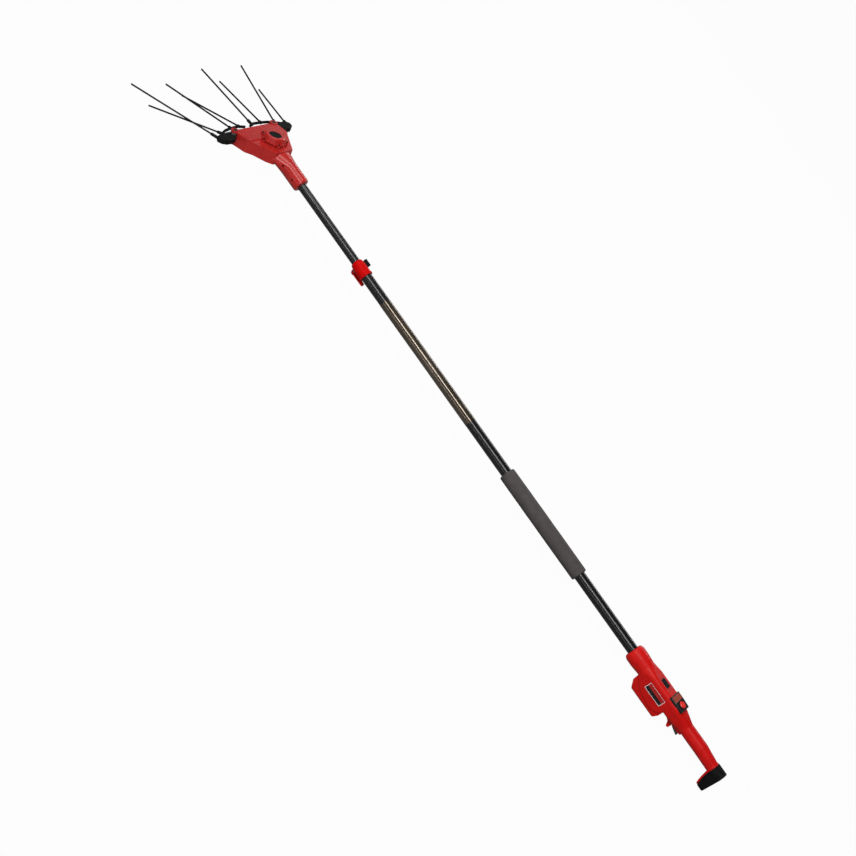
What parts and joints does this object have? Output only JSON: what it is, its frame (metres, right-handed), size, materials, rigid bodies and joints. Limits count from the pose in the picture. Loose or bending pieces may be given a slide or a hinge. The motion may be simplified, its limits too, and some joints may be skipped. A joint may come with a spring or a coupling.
{
  "type": "olive shaker",
  "caption": "Electric olive shaker: two swinging tine combs driven by a motor head, on a telescopic pole with a foam sleeve, cam clamp and trigger handle with rocker switch.",
  "frame": {"origin": "on the pole's axis, in the flat face under the handle's foot", "axes": "+X along the pole towards the tines, +Y to the left side of the tool, +Z to the side of the rocker switch and the motor cover"},
  "size_m": [2.3365, 0.5108, 0.176],
  "materials": {
    "red_plastic": "moulded, satin",
    "black_plastic": "moulded, fine grain",
    "grey_plastic": "moulded",
    "black_tube": "black anodised",
    "bronze_film": "clear glossy sleeve",
    "foam": "closed-cell foam skin",
    "tine_rod": "drawn fibre rod",
    "steel": "machined",
    "dark_steel": "blackened",
    "alloy": "cast",
    "white_nylon": "moulded",
    "cable": "sheathed",
    "board_green": "lacquered",
    "dark_window": "polished",
    "red_lens": "translucent",
    "label": "printed foil"
  },
  "bodies": {
    "lower_assembly": {"outer_tube": "black_tube", "foam_grip": "foam", "tube_band": "bronze_film", "clamp_collar": "red_plastic", "clamp_bolt": "steel", "clamp_pin": "steel", "handle_left": "red_plastic", "handle_right": "red_plastic", "end_cap": "black_plastic", "inlet_socket": "black_plastic", "control_board": "board_green", "display_window": "dark_window", "switch_bezel": "black_plastic", "microswitch": "black_plastic", "trigger_pin": "steel", "trigger_spring": "steel", "name_plate": "label", "supply_lead": "cable", "handle_screw_1": "dark_steel", "handle_screw_2": "dark_steel"},
    "upper_assembly": {"inner_tube": "black_tube", "slide_bush": "white_nylon", "upper_lead": "cable", "head_upper_case": "red_plastic", "head_lower_case": "red_plastic", "motor_cover": "red_plastic", "motor_cap": "black_plastic", "motor_can": "steel", "cover_screw_1": "dark_steel", "cover_screw_2": "dark_steel", "cover_screw_3": "dark_steel", "cover_screw_4": "dark_steel", "cover_screw_5": "dark_steel", "neck_screw_1": "dark_steel", "neck_screw_2": "dark_steel", "left_pivot_screw": "dark_steel", "right_pivot_screw": "dark_steel", "crank_axle": "steel"},
    "rotor": {"motor_rotor": "steel"},
    "crank": {"crank_gear": "steel", "crank_roller": "white_nylon"},
    "drive_yoke": {"yoke": "alloy"},
    "left_comb_set": {"left_rocker": "alloy", "left_comb": "black_plastic", "tine_1": "tine_rod", "tine_2": "tine_rod", "tine_3": "tine_rod", "tine_4": "tine_rod"},
    "right_comb_set": {"right_rocker": "alloy", "right_comb": "black_plastic", "tine_5": "tine_rod", "tine_6": "tine_rod", "tine_7": "tine_rod", "tine_8": "tine_rod"},
    "lever": {"clamp_lever": "red_plastic"},
    "nut": {"thumb_nut": "black_plastic"},
    "trigger_body": {"trigger": "grey_plastic"},
    "switch_body": {"switch_rocker": "black_plastic", "switch_lens": "red_lens"}
  },
  "joints": [
    {"name": "pole_slide", "type": "slide", "parent": "lower_assembly", "child": "upper_assembly", "axis": [1, 0, 0], "range_m": [-0.24, 0.45]},
    {"name": "left_comb_swing", "type": "hinge", "parent": "upper_assembly", "child": "left_comb_set", "pos_m": [2.07462, 0.081, -0.02316], "axis": [0.3584, 0, 0.9336], "range_deg": [-8, 8]},
    {"name": "right_comb_swing", "type": "hinge", "parent": "upper_assembly", "child": "right_comb_set", "pos_m": [2.07462, -0.081, -0.02316], "axis": [0.3584, 0, 0.9336], "range_deg": [-8, 8]},
    {"name": "yoke_slide", "type": "slide", "parent": "upper_assembly", "child": "drive_yoke", "axis": [0.9336, 0, -0.3584], "range_m": [-0.0072, 0.0072]},
    {"name": "crank_turn", "type": "hinge", "parent": "upper_assembly", "child": "crank", "pos_m": [2.03607, 0, -0.02229], "axis": [0.3584, 0, 0.9336], "range_deg": [-90, 90]},
    {"name": "rotor_spin", "type": "hinge", "parent": "upper_assembly", "child": "rotor", "pos_m": [2.00479, 0, -0.01029], "axis": [0.3584, 0, 0.9336], "range_deg": [-312, 312]},
    {"name": "clamp_lever_swing", "type": "hinge", "parent": "lower_assembly", "child": "lever", "pos_m": [1.603, -0.00534, -0.02781], "axis": [0, -0.7986, -0.6018], "range_deg": [0, 100]},
    {"name": "thumb_nut_turn", "type": "hinge", "parent": "lower_assembly", "child": "nut", "pos_m": [1.603, -0.01677, -0.01264], "axis": [0, -0.6018, 0.7986], "continuous": true},
    {"name": "trigger_pull", "type": "hinge", "parent": "lower_assembly", "child": "trigger_body", "pos_m": [0.177, 0, -0.02], "axis": [0, 1, 0], "range_deg": [0, 8], "stiffness_Nm_per_rad": 0.8, "springref_deg": -5.73, "deforming": ["trigger_spring"]},
    {"name": "switch_rock", "type": "hinge", "parent": "lower_assembly", "child": "switch_body", "pos_m": [0.2045, 0, 0.019], "axis": [0, 1, 0], "range_deg": [-8, 0]}
  ],
  "couplings": [
    {"joint": "right_comb_swing", "follows": "left_comb_swing", "ratio": -1},
    {"joint": "yoke_slide", "follows": "left_comb_swing", "m_per_rad": 0.0509},
    {"joint": "crank_turn", "follows": "left_comb_swing", "ratio": -11.25},
    {"joint": "rotor_spin", "follows": "left_comb_swing", "ratio": 39}
  ]
}
